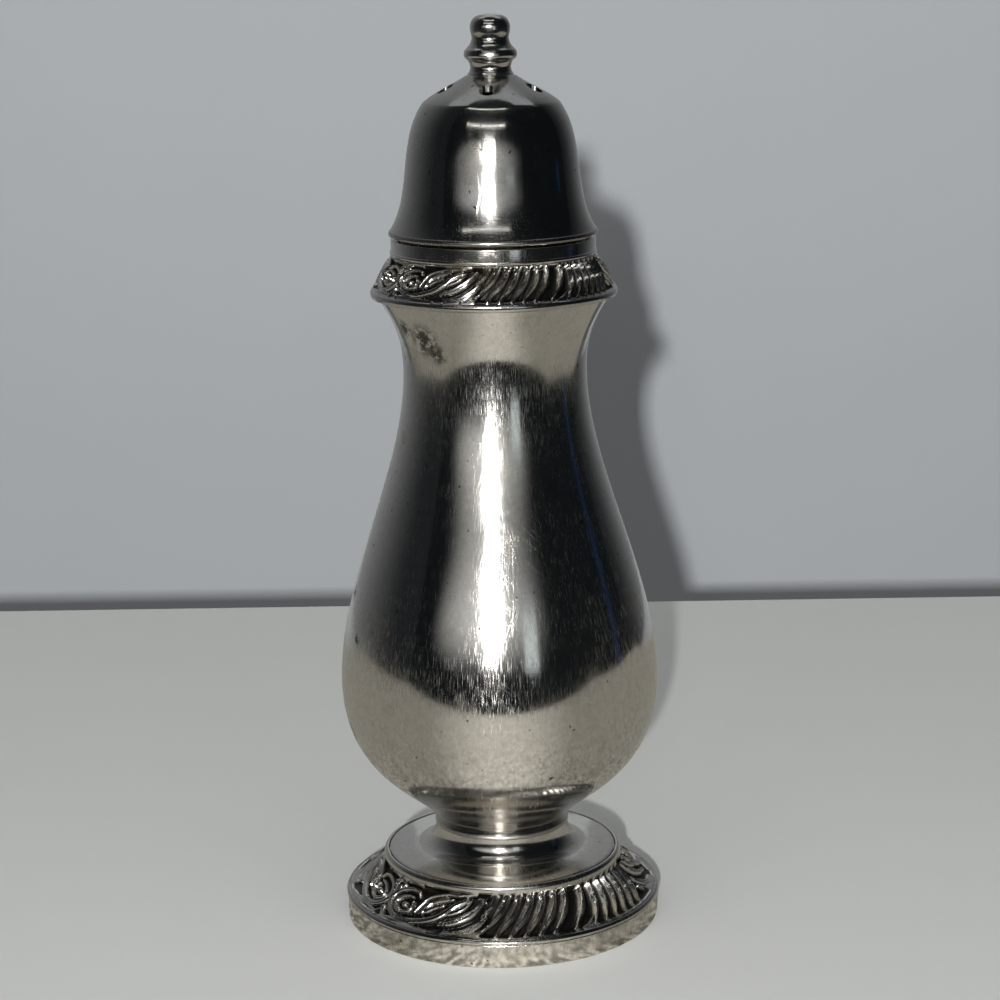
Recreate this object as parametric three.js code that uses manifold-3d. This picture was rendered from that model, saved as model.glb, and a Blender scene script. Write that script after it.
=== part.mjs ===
// Condiment shaker: a hollow baluster body on a dished foot, with cast gadroon, acanthus and scroll
// borders round the foot and the mouth, and a bell-shaped screw cap with a turned finial.
// Millimetres, +Z up. The origin is the centre of the foot ring's underside. The front is the -Y side.

import * as THREE from "three";
import { mergeVertices } from "three/addons/utils/BufferGeometryUtils.js";
import Module from "manifold-3d";

// Foot ring: the plain upright band that the shaker stands on
const footRingRadius = 22.75;
const footRingHeight = 3.4;
const footRingWall = 1.1;
const footRingBevel = 0.25;

// Foot border: cast ornament between the foot ring and the dished disc
const footBorderHeight = 6.6;
const footLipOverhang = 0.2;
const footLipHeight = 0.95;
const footLipDepth = 1.05;
const footMouldingWidth = 0.95;
const footMouldingHeight = 1.9;
const footBorderWall = 1.1;
const footLedgeWidth = 1.4;

// Foot shell: the dished disc and its neck
const discRadius = 16.45;
const discThickness = 0.9;
const discRise = 0.55;
const footNeckHeight = 4.2;
const footShellWall = 1.0;

// Body: heights are above the joint between the foot and the body
const stemRadius = 9.6;
const bellyRadius = 22.82;
const bellyHeight = 21.6;
const neckRadius = 12.92;
const neckHeight = 66.6;
const mouthRadius = 16.2;
const bodyHeight = 77.1;
const bodyWall = 1.0;
const floorThickness = 1.3;

// Collar border: cast ornament round the mouth
const collarHeight = 5.9;
const collarLipOverhang = 1.1;
const collarLipHeight = 1.6;
const collarLipDepth = 0.35;
const collarMouldingWidth = 0.3;
const collarMouldingHeight = 0.5;
const collarWall = 1.3;

// Neck ring: seat band under the cap's lip, and the spigot that the cap screws on
const seatRadius = 14.3;
const seatBandHeight = 2.25;
const seatBead = 0.15;
const locatingDepth = 2.0;
const spigotHeight = 6.3;
const spigotWall = 1.0;

// Cap: heights are above the cap's lower edge
const partingGap = 0.3;
const capRimOverhang = 0.3;
const rimRingHeight = 0.85;
const rimRingWidth = 1.2;
const capWall = 0.8;
const shoulderRadius = 9.5;
const shoulderHeight = 18.25;
const crownHeight = 22.05;
const sleeveHeight = 6.6;
const sleeveWall = 0.9;

// Pour holes
const pourHoleCount = 5;
const pourHoleDiameter = 2.3;
const pourCircleRadius = 6.4;
const pourHoleTurn = -4;

// Finial
const finialRootRadius = 3.2;
const finialHeight = 8.2;
const finialRingRadius = 3.65;
const finialBallRadius = 2.75;
const finialWaistRadius = 2.56;
const tenonRadius = 1.5;
const tenonLength = 2.4;

// Clearance between pieces that slide or turn in one another, and between cut and cutting pieces
const fitClearance = 0.3;

// Ornament, in degrees round the ring. One half repeat runs from the middle of a gadroon run to a junction
// of two scrolls, and all gadroons lean the same way.
const ornamentRepeats = 2;
const ornamentTurn = 34;
const reliefDepth = 0.85;
const motifHalfWidth = 1.5;
const gadroonsPerHalf = 7;
const gadroonPitch = 5.6;
const gadroonLean = 9.5;
const leafLobes = 3;
const leafLobePitch = 8.4;
const footEyeRadius = 1.45;
const collarEyeRadius = 1.2;
const eyeFromJunction = 10;
const eyeLevel = 0.48;

// Fineness of the curved surfaces
const bodySegments = 36;
const smallSegments = 24;
const columnsPerLobe = 3;
const scrollColumns = 6;
const fieldRows = 5;

// Levels worked out from the sizes above
const discLevel = footRingHeight + footBorderHeight;
const jointLevel = discLevel + footNeckHeight;
const bodyTop = jointLevel + bodyHeight;
const collarTop = bodyTop + collarHeight;
const seatLevel = collarTop + seatBandHeight;
const capBase = seatLevel + partingGap;
const domeBase = capBase + rimRingHeight;
const crownLevel = capBase + crownHeight;
const capRimRadius = seatRadius + capRimOverhang;

const halfRepeat = 180 / ornamentRepeats;
const gadroonsEnd = motifHalfWidth + gadroonsPerHalf * gadroonPitch;
const leafEnd = gadroonsEnd + leafLobes * leafLobePitch;

const wasm = await Module();
wasm.setup();

const polishedSilver = new THREE.MeshStandardMaterial({ color: 0xc8c6c1, roughness: 0.14, metalness: 1 });
const castSilver = new THREE.MeshStandardMaterial({ color: 0x9d9a94, roughness: 0.3, metalness: 1 });
const turnedSilver = new THREE.MeshStandardMaterial({ color: 0xb9b6b0, roughness: 0.22, metalness: 1 });

// Profiles: points hold the radius in x and the height in y

function point(radius, height) {
  return new THREE.Vector2(radius, height);
}

function cubic(start, startHandle, endHandle, end, steps) {
  return new THREE.CubicBezierCurve(start, startHandle, endHandle, end).getPoints(steps);
}

// Normal of a profile at a point, to the right of its direction, which is outwards on a rising outer face
function normalAt(points, index) {
  const before = points[Math.max(index - 1, 0)];
  const after = points[Math.min(index + 1, points.length - 1)];
  const along = after.clone().sub(before).normalize();
  return point(along.y, -along.x);
}

// The inner face of a wall, on every second point of the outer one. Inner points are offset square to the
// wall, and end points stay at their height.
function innerFace(outerPoints, wall) {
  const points = outerPoints.filter((p, index) => index % 2 === 0 || index === outerPoints.length - 1);
  const last = points.length - 1;
  return points.map((outer, index) => {
    const normal = normalAt(points, index);
    if (index === 0 || index === last) {
      return point(outer.x - wall / Math.max(normal.x, 0.5), outer.y);
    }
    return outer.clone().addScaledVector(normal, -wall);
  });
}

// Radius of a rising profile at a height
function radiusAt(points, height) {
  const index = points.findIndex((p) => p.y >= height);
  const above = points[Math.max(index, 1)];
  const below = points[Math.max(index, 1) - 1];
  const share = (height - below.y) / (above.y - below.y);
  return THREE.MathUtils.lerp(below.x, above.x, share);
}

// Solids

function closedGeometry(geometry) {
  geometry.deleteAttribute("normal");
  geometry.deleteAttribute("uv");
  const merged = mergeVertices(geometry, 1e-4);
  const index = merged.getIndex().array;
  const kept = [];
  for (let i = 0; i < index.length; i += 3) {
    const [a, b, c] = [index[i], index[i + 1], index[i + 2]];
    if (a !== b && b !== c && c !== a) kept.push(a, b, c);
  }
  merged.setIndex(kept);
  return merged;
}

// Turns a section about the upright axis. Its points go up the outside and down the inside.
function revolve(section, segments) {
  const closed = section[0].x > 0 ? [...section, section[0]] : section;
  return closedGeometry(new THREE.LatheGeometry(closed, segments).rotateX(Math.PI / 2));
}

function solidOf(geometry) {
  return new wasm.Manifold(
    new wasm.Mesh({
      numProp: 3,
      vertProperties: new Float32Array(geometry.getAttribute("position").array),
      triVerts: new Uint32Array(geometry.getIndex().array),
    })
  );
}

function geometryOf(solid) {
  const mesh = solid.getMesh();
  const geometry = new THREE.BufferGeometry();
  geometry.setAttribute("position", new THREE.BufferAttribute(mesh.vertProperties, 3));
  geometry.setIndex(new THREE.BufferAttribute(mesh.triVerts, 1));
  return geometry;
}

function namedMesh(name, geometry, material) {
  geometry.computeVertexNormals();
  const mesh = new THREE.Mesh(geometry, material);
  mesh.name = name;
  return mesh;
}

// Foot

function footRing() {
  const inner = footRingRadius - footRingWall;
  const section = [
    point(inner, 0),
    point(footRingRadius - footRingBevel, 0),
    point(footRingRadius, footRingBevel),
    point(footRingRadius, footRingHeight),
    point(inner, footRingHeight),
  ];
  return namedMesh("foot_ring", revolve(section, bodySegments), polishedSilver);
}

function footShell() {
  const knee = point(stemRadius + 0.65 * footNeckHeight, discLevel + discRise);
  const neck = cubic(
    knee,
    point(stemRadius + 0.27 * footNeckHeight, discLevel + 1.2 * discRise),
    point(stemRadius, jointLevel - 0.55 * footNeckHeight),
    point(stemRadius, jointLevel),
    5
  );
  const outer = [point(discRadius, discLevel), ...neck];
  const inner = innerFace(outer, footShellWall).slice(1).reverse();
  const seatInner = discRadius - footLedgeWidth;
  const section = [
    point(discRadius, discLevel - discThickness),
    ...outer,
    ...inner,
    point(seatInner, discLevel - discThickness),
  ];
  return namedMesh("foot_shell", revolve(section, bodySegments), polishedSilver);
}

// Body

function bodyOutline() {
  const joint = point(stemRadius, jointLevel);
  const belly = point(bellyRadius, jointLevel + bellyHeight);
  const neck = point(neckRadius, jointLevel + neckHeight);
  const mouth = point(mouthRadius, bodyTop);
  const neckSpan = neckHeight - bellyHeight;
  const flareSpan = bodyHeight - neckHeight;
  const lower = cubic(
    joint,
    point(stemRadius, joint.y + 0.227 * bellyHeight),
    point(bellyRadius, belly.y - 0.72 * bellyHeight),
    belly,
    8
  );
  const upper = cubic(
    belly,
    point(bellyRadius, belly.y + 0.33 * neckSpan),
    point(neckRadius, neck.y - 0.316 * neckSpan),
    neck,
    7
  );
  const flare = cubic(
    neck,
    point(neckRadius, neck.y + 0.53 * flareSpan),
    point(THREE.MathUtils.lerp(neckRadius, mouthRadius, 0.47), neck.y + 0.71 * flareSpan),
    mouth,
    5
  );
  return [...lower, ...upper.slice(1), ...flare.slice(1)];
}

function bodyShell() {
  const outer = bodyOutline();
  const floorLevel = jointLevel + floorThickness;
  const inner = innerFace(outer, bodyWall).filter((p) => p.y > floorLevel + 0.3).reverse();
  const floorEdge = point(radiusAt(innerFace(outer, bodyWall), floorLevel), floorLevel);
  const section = [point(0, jointLevel), ...outer, ...inner, floorEdge, point(0, floorLevel)];
  return namedMesh("body_shell", revolve(section, bodySegments), polishedSilver);
}

// Cast borders: a section lofted round the ring on columns that lean with the gadroons

// Column positions over one half repeat, from the middle of the gadroons to just before the junction
function halfColumns() {
  const columns = [0];
  for (let i = 0; i < gadroonsPerHalf * columnsPerLobe; i += 1) {
    columns.push(motifHalfWidth + (i * gadroonPitch) / columnsPerLobe);
  }
  for (let i = 0; i < leafLobes * columnsPerLobe; i += 1) {
    columns.push(gadroonsEnd + (i * leafLobePitch) / columnsPerLobe);
  }
  for (let i = 0; i < scrollColumns; i += 1) {
    columns.push(THREE.MathUtils.lerp(leafEnd, halfRepeat, i / scrollColumns));
  }
  return columns;
}

// Signed column positions round the whole ring, each with the centre that it is counted from
function ringColumns() {
  const half = halfColumns();
  const falling = half.slice(1).reverse().map((side) => -side);
  const columns = [];
  for (let repeat = 0; repeat < ornamentRepeats; repeat += 1) {
    const centre = ornamentTurn + repeat * 2 * halfRepeat;
    for (const side of [-halfRepeat, ...falling, ...half]) columns.push({ centre, side });
  }
  return columns;
}

// How far the columns lean: full along the gadroons, fading over the leaf to none at the junction
function leanShare(position) {
  return 1 - THREE.MathUtils.smoothstep(position, gadroonsEnd, halfRepeat);
}

function lobe(phase) {
  return Math.abs(Math.sin(Math.PI * phase));
}

// A rounded boss in a groove, the eye of the scroll
function eyeRelief(fromEye, radius) {
  const share = fromEye / radius;
  return share < 1 ? 0.5 + 0.5 * Math.sqrt(1 - share * share) : 0.5 * Math.min((share - 1) / 0.6, 1);
}

// Level of the stem's middle: it falls from the junction, runs under the eye and rises along the leaf
function stemLevel(fromJunction) {
  const fall = 1 - Math.min(fromJunction / eyeFromJunction, 1);
  const bend = 1.2 * eyeFromJunction;
  const rise = Math.max(fromJunction - bend, 0) / (halfRepeat - gadroonsEnd - bend);
  return 0.12 + 0.5 * fall ** 2 + 1.25 * rise ** 1.8;
}

// Relief from 0 to 1. Position counts along the leaning columns in degrees from the middle of the gadroons,
// fromJunction is the true angle from the junction, and level runs from the lip up to the moulding.
function relief(position, fromJunction, level, size) {
  if (position < motifHalfWidth) {
    return 1 - 0.6 * level;
  }
  if (position < gadroonsEnd) {
    return lobe((position - motifHalfWidth) / gadroonPitch) ** 0.6;
  }
  const across = ((fromJunction - eyeFromJunction) / halfRepeat) * size.halfLength;
  const up = (level - eyeLevel) * size.fieldLength;
  const fromEye = Math.hypot(across, up);
  if (fromEye < 1.6 * size.eyeRadius) {
    return eyeRelief(fromEye, size.eyeRadius);
  }
  const stem = Math.exp(-(((level - stemLevel(fromJunction)) / 0.12) ** 2));
  const leaf = position < leafEnd ? 0.75 * lobe((position - gadroonsEnd) / leafLobePitch) : 0.35;
  return Math.max(leaf, stem);
}

// Depth of the ground below the highest relief, as a share. It shallows towards the lip and the moulding.
function groundShare(level) {
  return Math.sin(Math.PI * THREE.MathUtils.clamp(level, 0.06, 0.94)) ** 0.5;
}

// Lofts a section round the ring. The field's points are the tops of the relief, and the rest is cut back.
function castRing(section, fieldStart, field, eyeRadius) {
  const columns = ringColumns();
  const meanRadius = (field[0].x + field[field.length - 1].x) / 2;
  const size = {
    halfLength: THREE.MathUtils.degToRad(halfRepeat) * meanRadius,
    fieldLength: field[0].distanceTo(field[field.length - 1]),
    eyeRadius,
  };
  const positions = [];
  for (const { centre, side } of columns) {
    const distance = Math.abs(side);
    section.forEach((base, row) => {
      const fieldRow = row - fieldStart;
      const inField = fieldRow >= 0 && fieldRow < field.length;
      const level = THREE.MathUtils.clamp(fieldRow / (field.length - 1), 0, 1);
      const leaning = side + gadroonLean * (level - 0.5) * leanShare(distance);
      const fromJunction = halfRepeat - Math.abs(leaning);
      const spot = base.clone();
      if (inField) {
        const cut = reliefDepth * groundShare(level) * (1 - relief(distance, fromJunction, level, size));
        spot.addScaledVector(normalAt(field, fieldRow), -cut);
      }
      const angle = THREE.MathUtils.degToRad(centre + leaning);
      positions.push(spot.x * Math.sin(angle), -spot.x * Math.cos(angle), spot.y);
    });
  }
  return gridGeometry(positions, columns.length, section.length);
}

// A grid of points that closes on itself both ways, as a solid's skin
function gridGeometry(positions, columns, rows) {
  const index = [];
  for (let i = 0; i < columns; i += 1) {
    const next = (i + 1) % columns;
    for (let j = 0; j < rows; j += 1) {
      const up = (j + 1) % rows;
      const corners = [i * rows + j, next * rows + j, next * rows + up, i * rows + up];
      index.push(corners[0], corners[1], corners[2], corners[0], corners[2], corners[3]);
    }
  }
  const geometry = new THREE.BufferGeometry();
  geometry.setAttribute("position", new THREE.Float32BufferAttribute(positions, 3));
  geometry.setIndex(index);
  return geometry;
}

// The line of the ornament's tops, swelling by the given amount or hollowed where it is negative
function fieldCurve(lower, upper, swell) {
  const middle = lower.clone().lerp(upper, 0.5).add(point(swell, swell));
  return new THREE.QuadraticBezierCurve(lower, middle, upper).getPoints(fieldRows);
}

function footBorder() {
  const lipRadius = footRingRadius + footLipOverhang;
  const innerRadius = discRadius + fitClearance;
  const ledge = discLevel - discThickness;
  const lower = point(lipRadius - footLipDepth, footRingHeight + footLipHeight);
  const upper = point(innerRadius + footMouldingWidth, discLevel - footMouldingHeight);
  const field = fieldCurve(lower, upper, -0.2);
  const below = [
    point(lipRadius, footRingHeight),
    point(lipRadius, footRingHeight + 0.6 * footLipHeight),
  ];
  const ledgeInner = discRadius - footLedgeWidth;
  const section = [
    ...below,
    ...field,
    point(innerRadius + 0.4 * footMouldingWidth, discLevel - 0.4 * footMouldingHeight),
    point(innerRadius, discLevel),
    point(innerRadius, ledge),
    point(ledgeInner, ledge),
    point(ledgeInner, ledge - footBorderWall),
    point(footRingRadius - footRingWall - footBorderWall, footRingHeight),
  ];
  return namedMesh("foot_border", castRing(section, below.length, field, footEyeRadius), castSilver);
}

function collarBorder() {
  const lipRadius = mouthRadius + collarLipOverhang;
  const lower = point(lipRadius - collarLipDepth, bodyTop + collarLipHeight);
  const upper = point(seatRadius + collarMouldingWidth, collarTop - collarMouldingHeight);
  const field = fieldCurve(lower, upper, 0.3);
  const below = [point(lipRadius - 0.2, bodyTop), point(lipRadius, bodyTop + 0.55 * collarLipHeight)];
  const section = [
    ...below,
    ...field,
    point(seatRadius, collarTop),
    point(seatRadius - collarWall, collarTop),
    point(seatRadius - collarWall, bodyTop),
  ];
  return namedMesh("collar_border", castRing(section, below.length, field, collarEyeRadius), castSilver);
}

// Cap

function domeOutline() {
  const rise = shoulderHeight - rimRingHeight;
  const shoulder = point(shoulderRadius, capBase + shoulderHeight);
  const lip = point(capRimRadius - 0.25, domeBase);
  const flare = lip.x - shoulder.x;
  const side = cubic(
    lip,
    point(lip.x - 0.67 * flare, domeBase + 0.284 * rise),
    point(lip.x - 0.25 * flare, domeBase + 0.704 * rise),
    shoulder,
    9
  );
  const crownRise = crownHeight - shoulderHeight;
  const crownRun = shoulderRadius - finialRootRadius;
  const crown = cubic(
    shoulder,
    point(shoulder.x - 0.2 * crownRun, shoulder.y + 0.33 * crownRise),
    point(finialRootRadius + 0.39 * crownRun, crownLevel - 0.4 * crownRise),
    point(finialRootRadius, crownLevel),
    4
  );
  return [...side, ...crown.slice(1)];
}

// The sleeve fits inside the dome's waist, and the spigot fits inside the sleeve
function sleeveRadius() {
  const inside = innerFace(domeOutline(), capWall);
  return radiusAt(inside, capBase + sleeveHeight) - fitClearance;
}

function spigotRadius() {
  return sleeveRadius() - sleeveWall - fitClearance;
}

function pourHole(index) {
  const angle = THREE.MathUtils.degToRad(pourHoleTurn + (index * 360) / pourHoleCount);
  const length = crownHeight;
  const drill = new THREE.CylinderGeometry(pourHoleDiameter / 2, pourHoleDiameter / 2, length, 14);
  drill.rotateX(Math.PI / 2);
  drill.translate(pourCircleRadius * Math.sin(angle), -pourCircleRadius * Math.cos(angle), crownLevel);
  return solidOf(closedGeometry(drill));
}

function capDome() {
  const outer = domeOutline();
  const ceiling = crownLevel - capWall;
  const holeRadius = tenonRadius + fitClearance;
  const inner = innerFace(outer, capWall).filter((p) => p.y < ceiling - 0.1).reverse();
  const section = [...outer, point(holeRadius, crownLevel), point(holeRadius, ceiling), ...inner];
  let solid = solidOf(revolve(section, bodySegments));
  for (let i = 0; i < pourHoleCount; i += 1) solid = solid.subtract(pourHole(i));
  return namedMesh("cap_dome", geometryOf(solid), polishedSilver);
}

function capRimRing() {
  const inner = capRimRadius - rimRingWidth;
  const section = [
    point(inner, capBase),
    point(capRimRadius - 0.35, capBase),
    point(capRimRadius, capBase + 0.5 * rimRingHeight),
    point(capRimRadius - 0.25, domeBase),
    point(inner, domeBase),
  ];
  return namedMesh("cap_rim_ring", revolve(section, bodySegments), turnedSilver);
}

function capSleeve() {
  const outer = sleeveRadius();
  const section = [
    point(outer - sleeveWall, capBase),
    point(outer, capBase),
    point(outer, capBase + sleeveHeight),
    point(outer - sleeveWall, capBase + sleeveHeight),
  ];
  return namedMesh("cap_sleeve", revolve(section, smallSegments), turnedSilver);
}

function neckRing() {
  const spigot = spigotRadius();
  const bore = spigot - spigotWall;
  const skirt = seatRadius - collarWall - fitClearance;
  const section = [
    point(bore, collarTop - locatingDepth),
    point(skirt, collarTop - locatingDepth),
    point(skirt, collarTop),
    point(seatRadius, collarTop),
    point(seatRadius + seatBead, collarTop + 2 * seatBead),
    point(seatRadius, collarTop + 4 * seatBead),
    point(seatRadius, seatLevel - seatBead),
    point(seatRadius - seatBead, seatLevel),
    point(spigot, seatLevel),
    point(spigot, seatLevel + spigotHeight),
    point(bore, seatLevel + spigotHeight),
  ];
  return namedMesh("neck_ring", revolve(section, bodySegments), turnedSilver);
}

// Finial: heights along it are shares of its height above the crown
function finial() {
  const rise = (share) => crownLevel + share * finialHeight;
  const necking = finialRootRadius - 0.37;
  const turned = new THREE.SplineCurve([
    point(finialRootRadius, rise(0)),
    point(necking, rise(0.11)),
    point(necking + 0.17, rise(0.21)),
    point(finialRingRadius, rise(0.32)),
    point(finialRingRadius - 0.1, rise(0.4)),
    point(finialWaistRadius + 0.27, rise(0.5)),
    point(finialWaistRadius, rise(0.6)),
    point(finialBallRadius - 0.03, rise(0.69)),
    point(finialBallRadius, rise(0.79)),
    point(finialBallRadius - 0.5, rise(0.91)),
    point(finialBallRadius - 1.6, rise(0.985)),
    point(0, rise(1)),
  ]).getPoints(16);
  turned[turned.length - 1].x = 0;
  const section = [
    point(0, crownLevel - tenonLength),
    point(tenonRadius, crownLevel - tenonLength),
    point(tenonRadius, crownLevel),
    ...turned,
  ];
  return namedMesh("finial", revolve(section, smallSegments), turnedSilver);
}

// Assembly

const vessel = new THREE.Group();
vessel.add(footRing(), footBorder(), footShell(), bodyShell(), collarBorder(), neckRing());

const cap = new THREE.Group();
cap.add(capRimRing(), capDome(), capSleeve(), finial());

const shaker = new THREE.Group();
shaker.add(vessel, cap);

export default shaker;
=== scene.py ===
"""Looks of a silver-plated condiment shaker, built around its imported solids.

Sizes in the classes are in millimetres, and meshes are made in metres in the solids' own frame: +Z up along
the shaker's axis, and -Y towards the viewer of the photograph.
"""

import logging
import math
from dataclasses import dataclass
from enum import Enum

import bmesh
import bpy
import numpy as np
from mathutils import Matrix, Vector
from mathutils.geometry import interpolate_bezier


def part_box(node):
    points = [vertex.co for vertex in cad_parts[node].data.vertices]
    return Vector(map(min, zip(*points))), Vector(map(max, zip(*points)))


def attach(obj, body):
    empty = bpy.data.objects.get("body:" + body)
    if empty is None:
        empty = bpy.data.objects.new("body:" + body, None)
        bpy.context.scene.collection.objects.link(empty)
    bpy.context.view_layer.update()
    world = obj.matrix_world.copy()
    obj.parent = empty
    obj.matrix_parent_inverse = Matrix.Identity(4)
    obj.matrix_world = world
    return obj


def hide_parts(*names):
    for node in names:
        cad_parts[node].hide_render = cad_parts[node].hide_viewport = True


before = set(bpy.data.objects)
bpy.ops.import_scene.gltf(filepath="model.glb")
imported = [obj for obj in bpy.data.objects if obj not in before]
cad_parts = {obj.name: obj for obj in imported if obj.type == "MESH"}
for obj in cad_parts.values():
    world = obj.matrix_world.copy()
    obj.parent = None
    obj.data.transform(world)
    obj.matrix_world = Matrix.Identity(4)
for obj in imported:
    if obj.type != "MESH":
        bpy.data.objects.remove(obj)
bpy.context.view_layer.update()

log = logging.getLogger("shaker")

MM = 0.001
FULL_TURN = 2 * math.pi
QUARTER_TURN = math.pi / 2

Point = tuple[float, float]
Spot = tuple[float, float, float]
Colour = tuple[float, float, float]
Section = list[Point]
Profile = tuple[Point, ...]
Handles = tuple[Point, Point]
Mesh = bmesh.types.BMesh
Piece = bpy.types.Object
Socket = bpy.types.NodeSocket
Material = bpy.types.Material


# Sections: points hold a radius and a height in millimetres

# Least share of a face's length by which its ends are taken to rise
LEAST_RISE = 0.5


def cubic(start: Point, start_handle: Point, end_handle: Point, end: Point, steps: int) -> Section:
    """Samples a cubic curve of two ends and two handles, in a number of steps."""
    corners = [Vector((p[0], 0, p[1])) for p in (start, start_handle, end_handle, end)]
    return [(p.x, p.z) for p in interpolate_bezier(*corners, steps + 1)]


def bow(start: Point, end: Point, handles: Handles, steps: int) -> Section:
    """Samples a cubic curve.

    Args:
        start: first point of the curve.
        end: last point of the curve.
        handles: its two handles, as shares of the way from the start to the end across and up.
        steps: number of stretches that the curve is cut into.

    Returns:
        The points of the curve, both ends included.
    """
    across, up = end[0] - start[0], end[1] - start[1]
    first, second = [(start[0] + a * across, start[1] + u * up) for a, u in handles]
    return cubic(start, first, second, end, steps)


def shifted(profile: Profile, radius: float, height: float) -> Section:
    """Moves a profile to a radius and a height."""
    return [(radius + across, height + up) for across, up in profile]


def inner_face(outer: Section, wall: float) -> Section:
    """Offsets a rising outer face inwards.

    Args:
        outer: points of the outer face, from its lower end up.
        wall: thickness of the wall, square to the face.

    Returns:
        The points of the inner face, with its two ends at the heights of the outer one's.
    """
    inner = []
    last = len(outer) - 1
    for i, (radius, height) in enumerate(outer):
        before, after = outer[max(i - 1, 0)], outer[min(i + 1, last)]
        along = Vector((after[0] - before[0], after[1] - before[1])).normalized()
        if i in (0, last):
            inner.append((radius - wall / max(along.y, LEAST_RISE), height))
        else:
            inner.append((radius - wall * along.y, height + wall * along.x))
    return inner


def node_span(node: str) -> tuple[float, float]:
    """Lowest and highest level of a CAD node at rest, in millimetres."""
    low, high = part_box(node)
    return low.z / MM, high.z / MM


def metres(spot: Spot) -> Vector:
    """A place in millimetres as a vector in metres."""
    return Vector(spot) * MM


# Meshes

# Equal parts of a full turn, which are spun once and copied
SECTORS = 8
MERGE_DISTANCE = 1e-7
UPRIGHT = {"cent": (0, 0, 0), "axis": (0, 0, 1)}
# Degrees by which an edge turns before it is rounded, or shaded as sharp
ROUNDED_ANGLE = 35
SHARP_ANGLE = 50


def turned(section: Section, segments: int = 240) -> Mesh:
    """Spins a closed section about the upright axis.

    Args:
        section: points round the section; its two ends lie on the axis or are joined to each other.
        segments: number of steps in the full turn.

    Returns:
        A closed mesh in metres with its faces pointing outwards.
    """
    mesh = bmesh.new()
    points = [mesh.verts.new((radius * MM, 0, height * MM)) for radius, height in section]
    edges = [mesh.edges.new(pair) for pair in zip(points, points[1:])]
    if section[0][0] > 0:
        edges.append(mesh.edges.new((points[-1], points[0])))
    sector, steps = FULL_TURN / SECTORS, segments // SECTORS
    bmesh.ops.spin(mesh, geom=points + edges, angle=sector, steps=steps, use_duplicate=False, **UPRIGHT)
    whole, rest = [*mesh.verts, *mesh.edges, *mesh.faces], FULL_TURN - sector
    bmesh.ops.spin(mesh, geom=whole, angle=rest, steps=SECTORS - 1, use_duplicate=True, **UPRIGHT)
    bmesh.ops.remove_doubles(mesh, verts=mesh.verts, dist=MERGE_DISTANCE)
    bmesh.ops.recalc_face_normals(mesh, faces=mesh.faces)
    return mesh


def soften(mesh: Mesh, offset: float, segments: int) -> None:
    """Rounds the sharp edges of a mesh.

    Args:
        mesh: the mesh to change.
        offset: width of the rounding from the edge, in millimetres.
        segments: number of faces across the rounding.
    """
    limit = math.radians(ROUNDED_ANGLE)
    sharp = [e for e in mesh.edges if len(e.link_faces) == 2 and e.calc_face_angle(0) > limit]
    bmesh.ops.bevel(mesh, geom=sharp, offset=offset * MM, offset_type="OFFSET", segments=segments,
                    profile=0.5, affect="EDGES", clamp_overlap=True, material=-1)


def place(mesh: Mesh, name: str, material: Material, body: str, replaced: tuple[str, ...] = (),
          weigh_normals: bool = True) -> Piece:
    """Makes a finished piece of a mesh and ties it to the frame.

    Args:
        mesh: the piece's mesh in metres, freed here.
        name: name of the piece.
        material: its finish.
        body: CAD body that it moves with.
        replaced: CAD nodes that it stands for.
        weigh_normals: whether flat faces next to small roundings keep flat shading.

    Returns:
        The new object.
    """
    data = bpy.data.meshes.new(name)
    mesh.to_mesh(data)
    mesh.free()
    data.materials.append(material)
    for polygon in data.polygons:
        polygon.use_smooth = True
    data.set_sharp_from_angle(angle=math.radians(SHARP_ANGLE))
    piece = bpy.data.objects.new(name, data)
    bpy.context.scene.collection.objects.link(piece)
    if weigh_normals:
        piece.modifiers.new("weighted_normals", "WEIGHTED_NORMAL").keep_sharp = True
    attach(piece, body)
    if replaced:
        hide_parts(*replaced)
    return piece


# Node trees


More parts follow.
